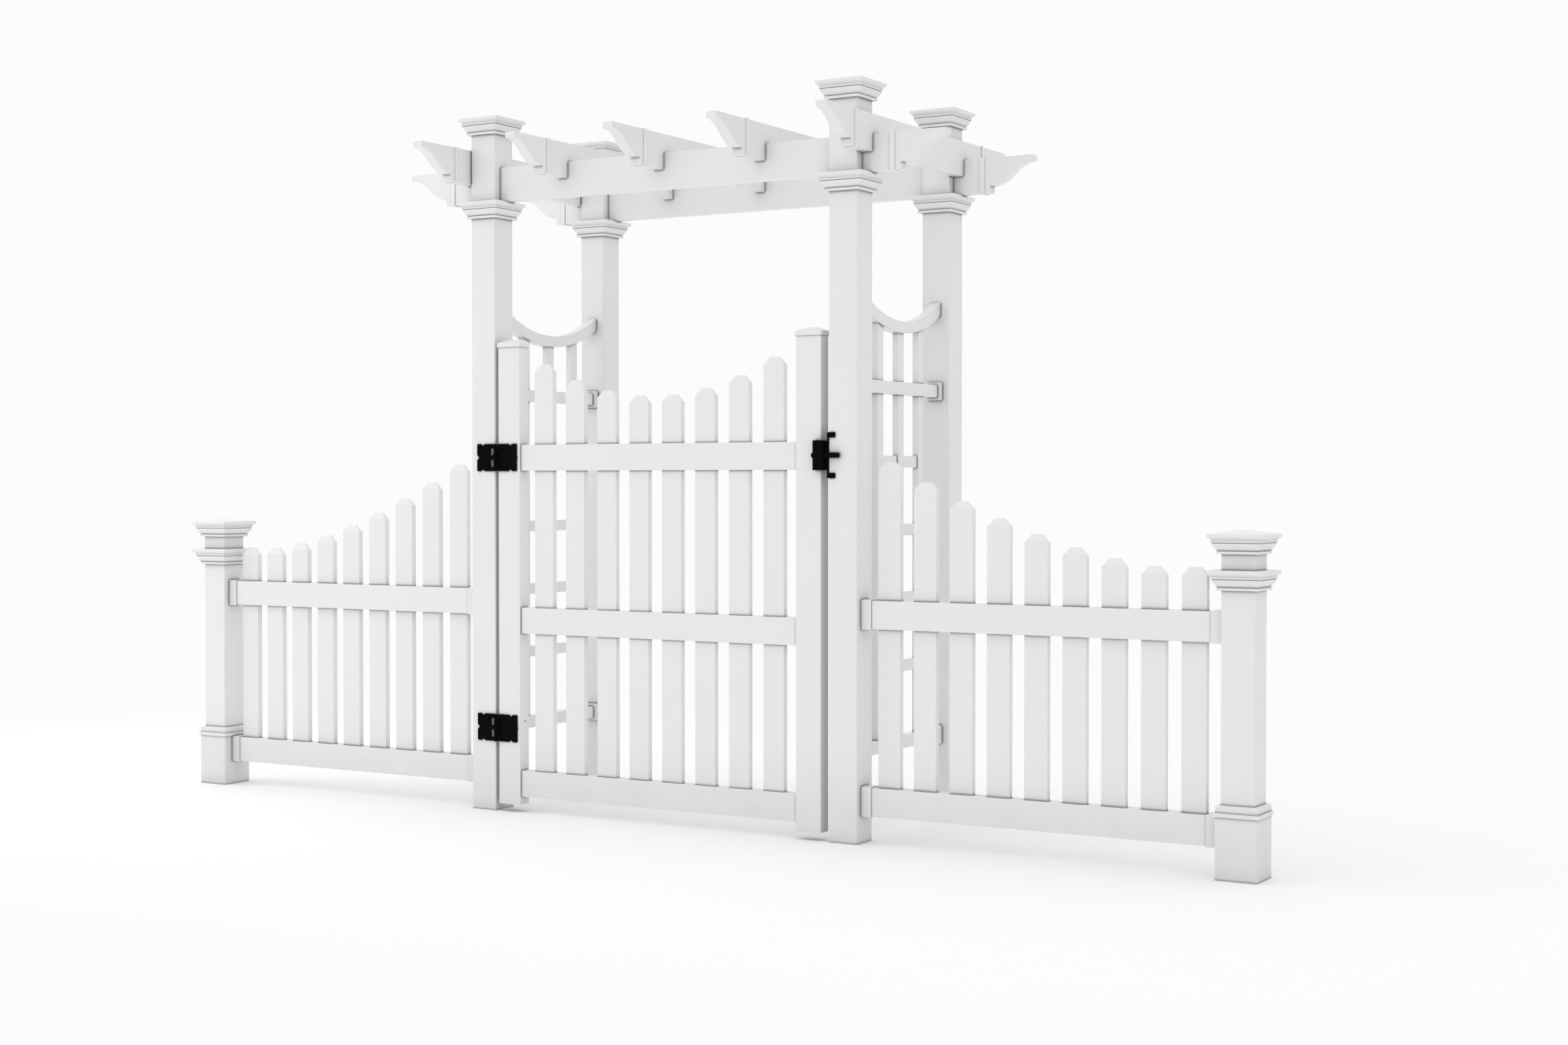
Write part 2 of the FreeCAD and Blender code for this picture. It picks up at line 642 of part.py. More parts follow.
def hinge_post_leaf(z):
    half = leaf_high / 2
    leaf = leaf_plate(z, -1, leaf_post_reach, leaf_clear)
    for end in (-1, 1):
        near, far = gate_knuckle_half + knuckle_gap, half - (tensioner_high if end > 0 else 0)
        z0, z1 = sorted((z + end * near, z + end * far))
        bridge = block(hinge_axis_x - leaf_clear - 1, hinge_axis_x, front_face - leaf_thick,
                       front_face, z0, z1)
        shaft = rod(pin_r + running, vec(hinge_axis_x, pin_y, z0 - 1), vec(0, 0, 1),
                    z1 - z0 + 2)
        leaf = leaf.fuse(bridge.fuse(knuckle(z0, z1, pin_r + running)).cut(shaft))
        leaf = leaf.cut(slot_cutter(z, end))
    return leaf.cut(Part.makeCompound(screw_holes(post_screw_spots()))).removeSplitter()


def hinge_gate_leaf(z):
    leaf = leaf_plate(z, 1, leaf_gate_reach, leaf_clear)
    z0, z1 = z - gate_knuckle_half, z + gate_knuckle_half
    bridge = block(hinge_axis_x, hinge_axis_x + leaf_clear + 1, front_face - leaf_thick,
                   front_face, z0, z1)
    barrel = bridge.fuse(knuckle(z0, z1, pin_r + running))
    axis = vec(0, 0, 1)
    barrel = barrel.cut(rod(pin_r + running, vec(hinge_axis_x, pin_y, z0 - 1), axis,
                            2 * gate_knuckle_half + 2))
    barrel = barrel.cut(rod(spring_room_r, vec(hinge_axis_x, pin_y, z - spring_half - fit),
                            axis, 2 * (spring_half + fit)))
    boss = rod(boss_r, vec(hinge_axis_x + leaf_gate_reach - boss_r + 2,
                           front_face, z), vec(0, -1, 0), leaf_thick + boss_high)
    leaf = leaf.fuse(barrel).fuse(boss)
    return leaf.cut(Part.makeCompound(screw_holes(gate_screw_spots()))).removeSplitter()


def hinge_pin(z):
    half = leaf_high / 2
    return rod(pin_r, vec(hinge_axis_x, pin_y, z - half), vec(0, 0, 1),
               leaf_high - tensioner_high)


def hinge_spring(z):
    start = vec(hinge_axis_x, pin_y, z - spring_half)
    coil = rod(spring_r, start, vec(0, 0, 1), 2 * spring_half)
    return coil.cut(rod(pin_r + spring_gap, start, vec(0, 0, 1), 2 * spring_half))


def hinge_tensioner(z):
    # adjusting cap on top of the barrel, with a hexagon key hole
    low = z + leaf_high / 2 - tensioner_high + fit
    high = z + leaf_high / 2
    cap = rod(knuckle_r - 0.5, vec(hinge_axis_x, pin_y, low), vec(0, 0, 1), high - low)
    hexagon = [vec(hinge_axis_x + key_hole_r * math.cos(math.radians(angle)),
                   pin_y + key_hole_r * math.sin(math.radians(angle)), high - key_hole_deep)
               for angle in range(0, 360, 60)]
    return cap.cut(prism(hexagon, vec(0, 0, key_hole_deep + 1)))


def screw_spots_for_hinges(xs):
    return [(x, front_face - leaf_thick, z + dz) for z in hinge_zs for x in xs
            for dz in (-hinge_screw_dz, hinge_screw_dz)]


def post_screw_spots():
    # points where screw heads bear: hinge leaves on the left post, keeper tabs on the right
    tab_x = arbor_x - post_size / 2 + keeper_screw_at
    tab_dz = (keeper_high - keeper_tab_high) / 2
    keeper = [(tab_x, front_face - keeper_thick, latch_z + dz) for dz in (-tab_dz, tab_dz)]
    return screw_spots_for_hinges([hinge_axis_x - at for at in post_screw_reach]) + keeper


def gate_screw_spots():
    case = [(case_left + case_screw_at, front_face - case_deep, latch_z + dz)
            for dz in (-case_screw_dz, case_screw_dz)]
    return screw_spots_for_hinges([hinge_axis_x + at for at in gate_screw_reach]) + case


def screw_length(y):
    # long enough to reach the same depth behind the front faces
    return front_face + screw_long - y


def screw_holes(spots):
    return [rod(screw_r + running, vec(x, y - 1, z), vec(0, 1, 0), screw_length(y) + 2)
            for x, y, z in spots]


def screws(spots):
    made = []
    for x, y, z in spots:
        head = rod(screw_head_r, vec(x, y, z), vec(0, -1, 0), screw_head_high)
        shank = rod(screw_r, vec(x, y - screw_head_high / 2, z), vec(0, 1, 0),
                    screw_length(y) + screw_head_high / 2)
        drive = block(x - drive_half_long, x + drive_half_long, y - screw_head_high - 1,
                      y - screw_head_high + drive_deep, z - drive_half_wide,
                      z + drive_half_wide)
        turned = drive.copy()
        turned.rotate(vec(x, y, z), vec(0, 1, 0), 90)
        made.append(head.fuse(shank).cut(drive.fuse(turned)))
    return made


def latch_case():
    # box on the stile's front, with a flange turned round onto its latch side
    half = case_high / 2
    case = block(case_left, case_right, front_face - case_deep, front_face,
                 latch_z - half, latch_z + half)
    front_edges = [e for e in case.Edges
                   if all(abs(v.Y - (front_face - case_deep)) < 0.1 for v in e.Vertexes)]
    case = case.makeFillet(case_round, front_edges)
    for z0, z1 in ((latch_z - half + case_wall, latch_z - case_guide_half),
                   (latch_z + case_guide_half, latch_z + half - case_wall)):
        pocket = block(case_left + case_pocket_at, case_right - case_wall,
                       front_face - case_deep + case_wall, front_face + 1, z0, z1)
        case = case.cut(pocket)
    flange = block(gate_right, gate_right + case_flange_thick, front_face - case_wall,
                   front_face + case_flange_deep, latch_z - case_flange_high / 2,
                   latch_z + case_flange_high / 2)
    bore = rod(bolt_r + running, vec(case_left - 1, bolt_y, latch_z), vec(1, 0, 0),
               case_right - case_left + 2)
    case = case.fuse(flange).removeSplitter().cut(bore)
    return case.cut(Part.makeCompound(screw_holes(gate_screw_spots())))


def latch_bolt():
    bolt = rod(bolt_r, vec(bolt_left, bolt_y, latch_z), vec(1, 0, 0), bolt_right - bolt_left)
    far_rim = [e for e in bolt.Edges if len(e.Vertexes) == 1
               and abs(e.Vertexes[0].X - bolt_right) < 0.1]
    return bolt.makeFillet(bolt_dome, far_rim)


def latch_knob():
    knob = rod(knob_r, vec(knob_left, bolt_y, latch_z), vec(1, 0, 0), knob_right - knob_left)
    far_rim = [e for e in knob.Edges if len(e.Vertexes) == 1
               and abs(e.Vertexes[0].X - knob_left) < 0.1]
    knob = knob.makeFillet(knob_round, far_rim)
    return knob.cut(rod(bolt_r + running, vec(bolt_left - fit, bolt_y, latch_z), vec(1, 0, 0),
                        bolt_right))


def latch_keeper():
    # plate on the post's inner face, with a tab at each end turned onto the front face
    face_x = arbor_x - post_size / 2
    half = keeper_high / 2
    keeper = block(face_x - keeper_thick, face_x, front_face - keeper_thick,
                   front_face + keeper_deep, latch_z - half, latch_z + half)
    for z0 in (latch_z - half, latch_z + half - keeper_tab_high):
        keeper = keeper.fuse(block(face_x - keeper_thick, face_x - keeper_thick + keeper_tab_reach,
                                   front_face - keeper_thick, front_face,
                                   z0, z0 + keeper_tab_high))
    notch = rod(bolt_r + keeper_notch_gap, vec(face_x - 2 * keeper_thick, bolt_y, latch_z),
                vec(1, 0, 0), 3 * keeper_thick)
    keeper = keeper.removeSplitter().cut(notch)
    return keeper.cut(Part.makeCompound(screw_holes(post_screw_spots())))


def export_posts():
    for name, (side_x, side_y) in corners.items():
        x, y = side_x * arbor_x, side_y * row_y
        export("arbor_post_" + name, [arbor_post(side_x, side_y)])
        export("arbor_post_cap_" + name, [post_cap(x, y, arbor_cap_z)])
        export("arbor_post_collar_" + name, [post_collar(x, y, arbor_collar_z)])
    for name, side in sides.items():
        export("end_post_" + name, [end_post(side)])
        export("end_post_cap_" + name, [post_cap(side * end_x, front_y, end_cap_z)])
        export("end_post_collar_" + name, [post_collar(side * end_x, front_y, end_collar_z)])
    export("base_sleeves", [base_sleeve(side) for side in sides.values()])


def export_roof():
    export("beam_front", [beam(-row_y)])
    export("beam_rear", [beam(row_y)])
    for number, x in enumerate(rafter_xs(), 1):
        export("rafter_" + str(number), [rafter(x)])
    export("scroll_end_caps", scroll_ends())


def export_side_panels():
    for name, side in sides.items():
        export("side_arch_" + name, [side_arch(side)])
        export("side_rails_" + name, [side_rail(side, z) for z in side_rail_zs])
    export("side_slats", side_slats(-1) + side_slats(1))
    export("side_crossbars", side_crossbars(-1) + side_crossbars(1))
    export("side_rail_brackets", side_brackets(-1) + side_brackets(1))


def export_wings():
    for name, side in sides.items():
        export("wing_rails_" + name, [wing_rail(side, z) for z in wing_rail_zs])
        export("wing_pickets_" + name, wing_pickets(side))
    export("wing_picket_caps", wing_picket_caps(-1) + wing_picket_caps(1))
    export("wing_rail_brackets", wing_brackets(-1) + wing_brackets(1))


def export_gate():
    export("gate_stile_hinge", [gate_stile(-1)])
    export("gate_stile_latch", [gate_stile(1)])
    export("gate_stile_caps", [gate_stile_cap(-1), gate_stile_cap(1)])
    export("gate_stile_stiffeners", [stile_stiffener(-1), stile_stiffener(1)])
    for name, z in gate_rail_zs.items():
        export("gate_rail_" + name, [gate_rail(z)])
    export("gate_pickets", gate_pickets())
    export("gate_picket_caps", gate_picket_caps())


def export_hardware():
    export("hinge_post_leaves", [hinge_post_leaf(z) for z in hinge_zs])
    export("hinge_gate_leaves", [hinge_gate_leaf(z) for z in hinge_zs])
    export("hinge_pins", [hinge_pin(z) for z in hinge_zs])
    export("hinge_springs", [hinge_spring(z) for z in hinge_zs])
    export("hinge_tensioners", [hinge_tensioner(z) for z in hinge_zs])
    export("latch_case", [latch_case()])
    export("latch_bolt", [latch_bolt()])
    export("latch_knob", [latch_knob()])
    export("latch_keeper", [latch_keeper()])
    export("post_screws", screws(post_screw_spots()))
    export("gate_screws", screws(gate_screw_spots()))


os.makedirs("parts", exist_ok=True)
export_posts()
export_roof()
export_side_panels()
export_wings()
export_gate()
export_hardware()
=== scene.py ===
import bpy
import bmesh
import math
from mathutils import Matrix, Vector


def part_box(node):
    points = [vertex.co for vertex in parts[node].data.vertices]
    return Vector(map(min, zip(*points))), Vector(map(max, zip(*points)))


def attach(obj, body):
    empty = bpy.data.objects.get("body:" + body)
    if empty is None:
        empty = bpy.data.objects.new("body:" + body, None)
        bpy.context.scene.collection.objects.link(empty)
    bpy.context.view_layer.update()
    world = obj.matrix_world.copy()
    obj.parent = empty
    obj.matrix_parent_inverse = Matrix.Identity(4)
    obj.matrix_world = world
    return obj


# Vinyl garden gate hung in a four-post arbor, with a picket wing on each side.
# Metres. The fence runs along X and its front faces -Y.

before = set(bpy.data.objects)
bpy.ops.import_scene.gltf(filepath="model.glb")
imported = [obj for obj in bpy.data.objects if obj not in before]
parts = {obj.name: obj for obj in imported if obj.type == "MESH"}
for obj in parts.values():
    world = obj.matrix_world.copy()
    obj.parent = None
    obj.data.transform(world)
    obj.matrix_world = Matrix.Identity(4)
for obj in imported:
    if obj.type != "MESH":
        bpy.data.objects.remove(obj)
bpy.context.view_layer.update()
print("gate: packed parts loaded:", len(parts))


def partsNamed(*starts):
    return [parts[name] for name in sorted(parts) if name.startswith(starts)]


viewpoint = {"place": (4.00959, -6.32275, 1.13183), "tilt": -0.0185, "turn": 0.5334,
             "lens": 50.0, "sensorWidth": 36.0}


def addCamera(view):
    data = bpy.data.cameras.new("gateCamera")
    data.lens, data.sensor_width = view["lens"], view["sensorWidth"]
    data.clip_end = 200.0
    camera = bpy.data.objects.new("gateCamera", data)
    camera.location = view["place"]
    camera.rotation_euler = (math.pi / 2 + view["tilt"], 0.0, view["turn"])
    bpy.context.scene.collection.objects.link(camera)
    bpy.context.scene.camera = camera


addCamera(viewpoint)
print("gate: camera placed")


# short helpers for building node trees

def addNode(tree, kind, settings=None, **sockets):
    made = tree.nodes.new("ShaderNode" + kind)
    for key, value in (settings or {}).items():
        setattr(made, key, value)
    for key, value in sockets.items():
        setSocket(tree, made.inputs[socketName(key)], value)
    return made


def socketName(key):
    # a plain number in the keyword, as in input1, picks the socket by place
    if key.startswith("input"):
        return int(key[5:])
    words = "".join(" " + c if c.isupper() else c for c in key).split()
    return " ".join(word.upper() if word == "ior" else word.capitalize() for word in words)


def setSocket(tree, socket, value):
    if isinstance(value, bpy.types.NodeSocket):
        tree.links.new(value, socket)
    elif isinstance(value, (int, float)) and socket.type == "RGBA":
        socket.default_value = (value, value, value, 1.0)
    else:
        socket.default_value = value


def maths(tree, operation, a, b=None, c=None, clamp=False):
    made = addNode(tree, "Math", {"operation": operation, "use_clamp": clamp}, input0=a)
    for place, value in ((1, b), (2, c)):
        if value is not None:
            setSocket(tree, made.inputs[place], value)
    return made.outputs[0]


def ease(tree, value, low, high, outLow=0.0, outHigh=1.0):
    # smooth step from low to high
    made = addNode(tree, "MapRange", {"interpolation_type": "SMOOTHSTEP"}, input0=value,
                   input1=low, input2=high, input3=outLow, input4=outHigh)
    return made.outputs[0]


def mixColours(tree, factor, a, b, blend="MIX"):
    made = tree.nodes.new("ShaderNodeMix")
    made.data_type, made.blend_type = "RGBA", blend
    for place, value in ((0, factor), (6, a), (7, b)):
        setSocket(tree, made.inputs[place], value)
    return made.outputs[2]


def grey(level, warmth=0.0):
    return (level * (1 + warmth), level, level * (1 - warmth), 1.0)


def noise(tree, coordinates, scale, detail=2.0, roughness=0.5, stretch=None):
    if stretch:
        coordinates = addNode(tree, "Mapping", Vector=coordinates, Scale=stretch).outputs[0]
    made = addNode(tree, "TexNoise", Vector=coordinates, Scale=scale, Detail=detail,
                   Roughness=roughness)
    return made.outputs["Fac"]


def bump(tree, height, strength, distance, below=None):
    made = addNode(tree, "Bump", Height=height, Strength=strength, Distance=distance)
    if below is not None:
        tree.links.new(below, made.inputs["Normal"])
    return made.outputs["Normal"]


def emptyMaterial(name):
    material = bpy.data.materials.new(name)
    material.use_nodes = True
    material.node_tree.nodes.clear()
    return material, material.node_tree


def edgeMask(tree, radius, sharpness):
    # 1 on worn edges: where a rounded normal leaves the true one
    rounded = addNode(tree, "Bevel", {"samples": 4}, Radius=radius).outputs[0]
    true = addNode(tree, "NewGeometry").outputs["Normal"]
    together = addNode(tree, "VectorMath", {"operation": "DOT_PRODUCT"}, input0=rounded,
                       input1=true).outputs["Value"]
    return maths(tree, "MULTIPLY", maths(tree, "SUBTRACT", 1.0, together), sharpness,
                 clamp=True)


def paintedShadeMask(tree, look, kind):
    # painted shade: 0 in the open, 1 deep in a joint, read from ambient occlusion within the
    # given reach
    shade = addNode(tree, "AmbientOcclusion", {"samples": 6}, Distance=look[kind + "Reach"])
    depth = maths(tree, "SUBTRACT", 1.0, shade.outputs["AO"])
    depth = maths(tree, "MULTIPLY", depth, look[kind + "Gain"], clamp=True)
    return maths(tree, "POWER", depth, look[kind + "Power"])


vinylLook = {
    "tone": 0.845, "toneSpread": 0.018, "patchScale": 1.7, "cloudScale": 11.9,
    # the crease and seam tones are painted shade, darkening the colour in creases and joints
    "creaseShadeTone": 0.52, "creaseReach": 0.05, "creaseGain": 1.0, "creasePower": 1.2,
    "seamShadeTone": 0.26, "seamReach": 0.009, "seamGain": 2.3, "seamPower": 1.4,
    # the tone near the ground is painted shade; the same mask also roughens the surface there
    "groundShadeTone": 0.70, "shadeAndDustHeight": 0.34, "shadeAndDustLeast": 0.15, "shadeAndDustCloud": 0.8,
    "dustRoughness": 0.25, "edgeTone": 0.90, "edgeRadius": 0.0022, "edgeAmount": 0.5,
    "edgeSharpness": 6.0, "edgeRoughness": -0.08,
    "roughness": 0.40, "roughnessSpread": 0.10, "streakRoughness": 0.06,
    "streakScale": 9.0, "streakStretch": 34.0, "streakAlong": 0.6, "streakDepth": 0.00012,
    "streakStrength": 0.4, "peelScale": 420.0, "peelDepth": 0.00003, "peelStrength": 0.35,
    "ior": 1.52, "specular": 0.42,
}


def makeVinyl(name, look, along=None, roughnessShift=0.0):
    # extruded vinyl with faint die lines along its length, or moulded vinyl without them
    material, tree = emptyMaterial(name)
    place = addNode(tree, "TexCoord").outputs["Object"]
    patches = noise(tree, place, look["patchScale"], 3.0, 0.55)
    cloudy = noise(tree, place, look["cloudScale"], 4.0, 0.6)
    tone = maths(tree, "MULTIPLY_ADD", patches, look["toneSpread"] * 2,
                 look["tone"] - look["toneSpread"])
    tone = maths(tree, "MULTIPLY_ADD", cloudy, look["toneSpread"], tone)
    colour = addNode(tree, "CombineColor", Red=tone, Green=tone,
                     Blue=maths(tree, "MULTIPLY", tone, 0.997)).outputs[0]

    height = addNode(tree, "SeparateXYZ", Vector=place).outputs["Z"]
    # painted shade near the ground: the colour darkens towards the bottom, broken by cloud
    # noise; the same mask adds roughness
    groundShadeAndDust = ease(tree, height, look["shadeAndDustHeight"], 0.0)
    groundShadeAndDust = maths(tree, "MULTIPLY", groundShadeAndDust, maths(tree, "MULTIPLY_ADD", cloudy,
                                               look["shadeAndDustCloud"], look["shadeAndDustLeast"]))
    colour = mixColours(tree, groundShadeAndDust, colour, grey(look["groundShadeTone"], 0.004))
    # painted shade in creases and corners: wide-reach ambient occlusion darkens the colour
    crease = paintedShadeMask(tree, look, "crease")
    colour = mixColours(tree, crease, colour, grey(look["creaseShadeTone"]))
    # painted shade where parts meet: short-reach ambient occlusion draws thin dark lines along
    # the joints
    seam = paintedShadeMask(tree, look, "seam")
    colour = mixColours(tree, seam, colour, grey(look["seamShadeTone"], 0.02))
    edges = edgeMask(tree, look["edgeRadius"], look["edgeSharpness"])
    worn = maths(tree, "MULTIPLY", edges, look["edgeAmount"])
    colour = mixColours(tree, worn, colour, grey(look["edgeTone"]))

    rough = maths(tree, "MULTIPLY_ADD", cloudy, look["roughnessSpread"],
                  look["roughness"] + roughnessShift - look["roughnessSpread"] / 2)
    rough = maths(tree, "MULTIPLY_ADD", groundShadeAndDust, look["dustRoughness"], rough)
    rough = maths(tree, "MULTIPLY_ADD", worn, look["edgeRoughness"], rough)

    relief = bump(tree, noise(tree, place, look["peelScale"], 1.0), look["peelStrength"],
                  look["peelDepth"])
    if along is not None:
        stretch = [look["streakStretch"]] * 3
        stretch[along] = look["streakAlong"]
        streaks = noise(tree, place, look["streakScale"], 3.0, 0.6, stretch)
        relief = bump(tree, streaks, look["streakStrength"], look["streakDepth"], relief)
        smoother = maths(tree, "SUBTRACT", rough, look["streakRoughness"] / 2)
        rough = maths(tree, "MULTIPLY_ADD", streaks, look["streakRoughness"], smoother)
    shader = addNode(tree, "BsdfPrincipled", BaseColor=colour, Roughness=rough, Normal=relief)
    shader.inputs["IOR"].default_value = look["ior"]
    shader.inputs["Specular IOR Level"].default_value = look["specular"]
    addNode(tree, "OutputMaterial", Surface=shader.outputs[0])
    return material


blackLook = {"tone": 0.0030, "wornTone": 0.013, "specular": 0.025, "ior": 1.5,
             "edgeRadius": 0.0008, "edgeSharpness": 5.0, "cloudScale": 34.0,
             "roughnessSpread": 0.12, "grainStrength": 0.5}


def makeBlack(name, look, roughness, grainScale, grainDepth):
    # black hardware: a pebbled moulding grain or powder coat, rubbed paler at its edges
    material, tree = emptyMaterial(name)
    place = addNode(tree, "TexCoord").outputs["Object"]
    grain = noise(tree, place, grainScale, 2.0, 0.6)
    cloudy = noise(tree, place, look["cloudScale"], 3.0, 0.6)
    edges = edgeMask(tree, look["edgeRadius"], look["edgeSharpness"])
    worn = maths(tree, "MULTIPLY", edges, cloudy)
    tone = mixColours(tree, cloudy, grey(look["tone"] * 0.8), grey(look["tone"] * 1.3))
    tone = mixColours(tree, worn, tone, grey(look["wornTone"]))
    spread = look["roughnessSpread"]
    rough = maths(tree, "MULTIPLY_ADD", cloudy, spread, roughness - spread / 2)
    relief = bump(tree, grain, look["grainStrength"], grainDepth)
    shader = addNode(tree, "BsdfPrincipled", BaseColor=tone, Roughness=rough, Normal=relief)
    shader.inputs["IOR"].default_value = look["ior"]
    shader.inputs["Specular IOR Level"].default_value = look["specular"]
    addNode(tree, "OutputMaterial", Surface=shader.outputs[0])
    return material


def makeMetal(name, tone, roughness, brushScale):
    # bare metal seen only inside a stile or through a gap
    material, tree = emptyMaterial(name)
    place = addNode(tree, "TexCoord").outputs["Object"]
    brushed = noise(tree, place, brushScale, 2.0, 0.6, (18.0, 18.0, 1.0))
    colour = mixColours(tree, brushed, grey(tone * 0.85), grey(tone))
    rough = maths(tree, "MULTIPLY_ADD", brushed, 0.2, roughness - 0.1)
    shader = addNode(tree, "BsdfPrincipled", BaseColor=colour, Roughness=rough,
                     Normal=bump(tree, brushed, 0.3, 0.00005))
    shader.inputs["Metallic"].default_value = 1.0
    addNode(tree, "OutputMaterial", Surface=shader.outputs[0])
    return material


finishes = {
    "uprightVinyl": makeVinyl("uprightVinyl", vinylLook, along=2),
    "railVinyl": makeVinyl("railVinyl", vinylLook, along=0),
    "crossVinyl": makeVinyl("crossVinyl", vinylLook, along=1),
    "mouldedVinyl": makeVinyl("mouldedVinyl", vinylLook, roughnessShift=0.04),
    # picket caps get lighter painted shade in their creases and joints
    "pointVinyl": makeVinyl("pointVinyl", {**vinylLook, "seamShadeTone": 0.75, "creaseShadeTone": 0.7},
                            roughnessShift=0.04),
    "blackPolymer": makeBlack("blackPolymer", blackLook, 0.62, 900.0, 0.00006),
    "blackSteel": makeBlack("blackSteel", blackLook, 0.48, 1500.0, 0.00003),
    "aluminium": makeMetal("aluminium", 0.72, 0.38, 40.0),
    # a grey plate finish that stands in for the shade inside the hinge slots: painted shade
    "slotShadeGrey": makeBlack("slotShadeGrey", {**blackLook, "tone": 0.15, "wornTone": 0.22}, 0.6,
                           700.0, 0.00004),
    "springSteel": makeMetal("springSteel", 0.20, 0.42, 60.0),
}
print("gate: finishes made:", len(finishes))


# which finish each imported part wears, and how much its edges are eased (metres)
dressing = {
    ("arbor_post_front", "arbor_post_rear", "end_post_left", "end_post_right"):
        ("uprightVinyl", 0.0),
    ("wing_pickets", "gate_pickets", "side_slats", "gate_stile_hinge", "gate_stile_latch"):
        ("uprightVinyl", 0.0),
    ("beam", "wing_rails", "gate_rail"): ("railVinyl", 0.0),
    ("rafter", "side_rails", "side_arch"): ("crossVinyl", 0.0),
    ("side_crossbars",): ("crossVinyl", 0.0012),
    ("arbor_post_cap", "arbor_post_collar", "end_post_cap", "end_post_collar"):
        ("mouldedVinyl", 0.0006),
    ("base_sleeves",): ("mouldedVinyl", 0.0016),
    ("scroll_end",): ("mouldedVinyl", 0.0009),
    ("wing_rail_brackets", "side_rail_brackets"): ("mouldedVinyl", 0.0007),
    ("gate_stile_caps",): ("mouldedVinyl", 0.0008),
    ("wing_picket_caps", "gate_picket_caps"): ("pointVinyl", 0.0003),
    ("hinge_post_leaves", "hinge_gate_leaves", "latch_case"): ("blackPolymer", 0.0005),
    ("hinge_tensioners", "latch_knob"): ("blackPolymer", 0.0),
    ("latch_keeper",): ("blackSteel", 0.0005),
    ("hinge_pins", "latch_bolt", "post_screws", "gate_screws"): ("blackSteel", 0.0),
    ("gate_stile_stiffeners",): ("aluminium", 0.0),
    ("hinge_springs",): ("springSteel", 0.0),
}


easing = {"weld": 1e-5, "flatAngle": 0.4, "edgeAngle": 38, "segments": 2, "evenness": 80}


def easeEdges(part, width):
    weld = part.modifiers.new("weld", "WELD")
    weld.merge_threshold = easing["weld"]
    flat = part.modifiers.new("flatFaces", "DECIMATE")
    flat.decimate_type, flat.angle_limit = "DISSOLVE", math.radians(easing["flatAngle"])
    soft = part.modifiers.new("easedEdges", "BEVEL")
    soft.width, soft.segments, soft.limit_method = width, easing["segments"], "ANGLE"
    soft.angle_limit, soft.use_clamp_overlap = math.radians(easing["edgeAngle"]), True
    even = part.modifiers.new("evenNormals", "WEIGHTED_NORMAL")
    even.weight, even.keep_sharp = easing["evenness"], False


def dress(part, finish, width):
    for place in part.material_slots:
        place.material = finishes[finish]
    if width > 0:
        for face in part.data.polygons:
            face.use_smooth = True
        easeEdges(part, width)


undressed = set(parts)
for starts, (finish, width) in dressing.items():
    for part in partsNamed(*starts):
        if part.name in undressed:
            dress(part, finish, width)
            undressed.discard(part.name)
print("gate: packed parts dressed, left over:", sorted(undressed))


# small trim that the hinges carry: a grey plate in each slot that stands in for the shade inside
# it (painted shade), a shim behind each gate leaf, and a screw in the stile's inner side above
# the lower hinge
hingeTrim = {
    "leafHalf": 0.0463, "slotFar": 0.0228, "slotNear": 0.0081, "slotLow": 0.0063,
    "slotHigh": 0.032, "slotSlant": 0.006, "slotGap": 0.0001,
    # the slot plates are painted shade
    "slotShadeFront": 0.0030, "slotShadeBack": 0.0004, "slotShadeEase": 0.0003,
    "shimFrom": 0.0044, "shimTo": 0.0086, "shimThick": 0.0007,
    "shimLift": 0.00005, "shimEase": 0.0002,
    "screwUp": 0.0245, "screwBack": 0.0283, "screwRadius": 0.0027, "screwHigh": 0.0012,
}


def newPiece(name, mesh, finish, body):
    piece = bpy.data.objects.new(name, mesh)
    bpy.context.scene.collection.objects.link(piece)
    mesh.materials.append(finishes[finish])
    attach(piece, body)
    return piece


def platePiece(name, outline, front, back, eased, finish, body):
    # a flat plate from an outline in X and Z, with its front edges eased
    shape = bmesh.new()
    rings = [[shape.verts.new((x, y, z)) for x, z in outline] for y in (front, back)]
    shape.faces.new(rings[0])
    shape.faces.new(reversed(rings[1]))
    count = len(outline)
    for i in range(count):
        j = (i + 1) % count
        shape.faces.new((rings[0][j], rings[0][i], rings[1][i], rings[1][j]))
    bmesh.ops.recalc_face_normals(shape, faces=shape.faces)
    rim = [e for e in shape.edges if all(v in rings[0] for v in e.verts)]
    bmesh.ops.bevel(shape, geom=rim, offset=eased, segments=2, profile=0.5, affect="EDGES")
    mesh = bpy.data.meshes.new(name)
    shape.to_mesh(mesh)
    shape.free()
    return newPiece(name, mesh, finish, body)


def domePiece(name, centre, radius, high, finish, body):
    # a low round screw head facing +X, with a cross recess
    shape = bmesh.new()
    rings, sides = 6, 32
    for r in range(rings):
        angle = math.pi / 2 * r / (rings - 1)
        for k in range(sides):
            turn = 2 * math.pi * k / sides
            across = radius * math.cos(angle) * 0.98 + radius * 0.02
            inArm = min(abs(math.sin(turn)), abs(math.cos(turn))) * across < radius * 0.14
            sunk = high * 0.45 if inArm and across < radius * 0.62 else 0.0
            shape.verts.new((high * math.sin(angle) - sunk, across * math.cos(turn),
                             across * math.sin(turn)))
    shape.verts.ensure_lookup_table()
    at = shape.verts
    for r in range(rings - 1):
        for k in range(sides):
            j = (k + 1) % sides
            shape.faces.new((at[r * sides + k], at[r * sides + j],
                             at[(r + 1) * sides + j], at[(r + 1) * sides + k]))
    shape.faces.new([at[(rings - 1) * sides + k] for k in range(sides)])
    shape.faces.new([at[k] for k in reversed(range(sides))])
    bmesh.ops.recalc_face_normals(shape, faces=shape.faces)
    bmesh.ops.transform(shape, matrix=Matrix.Translation(centre), verts=shape.verts)
    mesh = bpy.data.meshes.new(name)
    shape.to_mesh(mesh)
    shape.free()
    return newPiece(name, mesh, finish, body)


